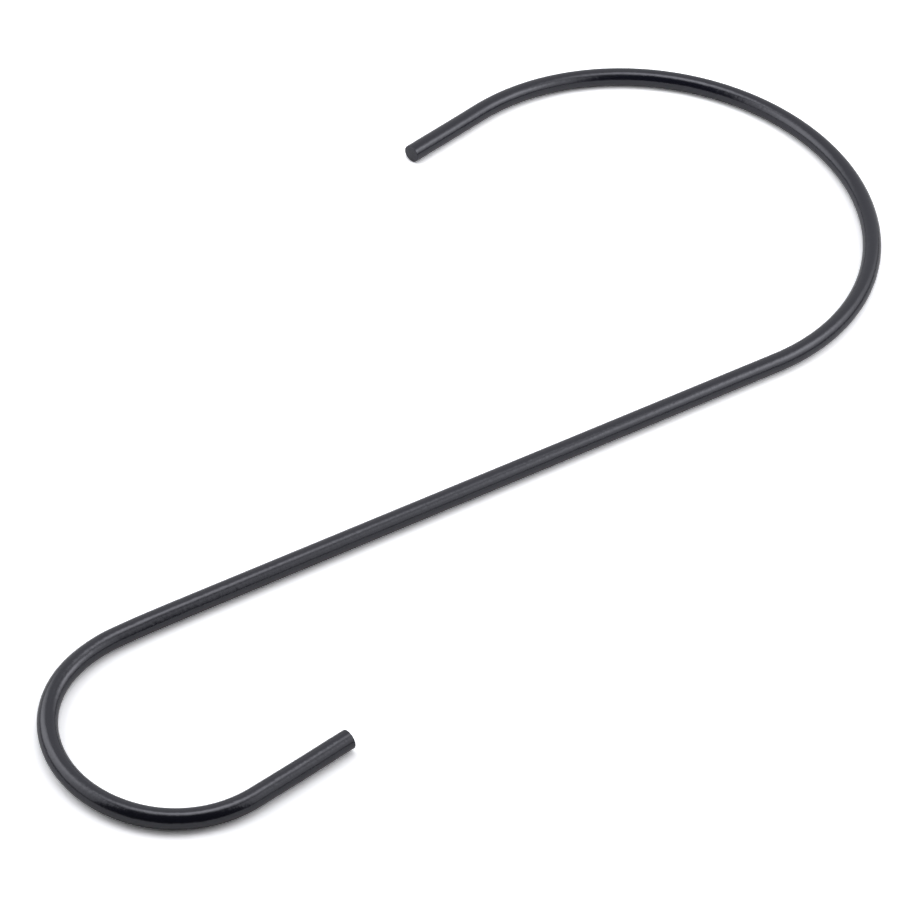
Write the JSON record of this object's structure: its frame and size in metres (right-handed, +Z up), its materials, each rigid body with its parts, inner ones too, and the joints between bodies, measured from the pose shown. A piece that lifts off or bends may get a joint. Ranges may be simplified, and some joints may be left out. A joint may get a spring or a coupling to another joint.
{
  "type": "s hook",
  "caption": "Long S-shaped hook of bent round rod with a glossy black coat, with a wide bend at one end and a narrow bend at the other.",
  "frame": {"origin": "centre of the bounding box, on the surface that the hook lies on", "axes": "+X along the shank towards the large bend, +Y in the plane of the hook towards the large bend's open side, +Z up, square to that plane"},
  "size_m": [0.305, 0.1968, 0.0052],
  "materials": {
    "coat": "gloss"
  },
  "bodies": {
    "root": {"s_hook": "coat"}
  },
  "joints": []
}
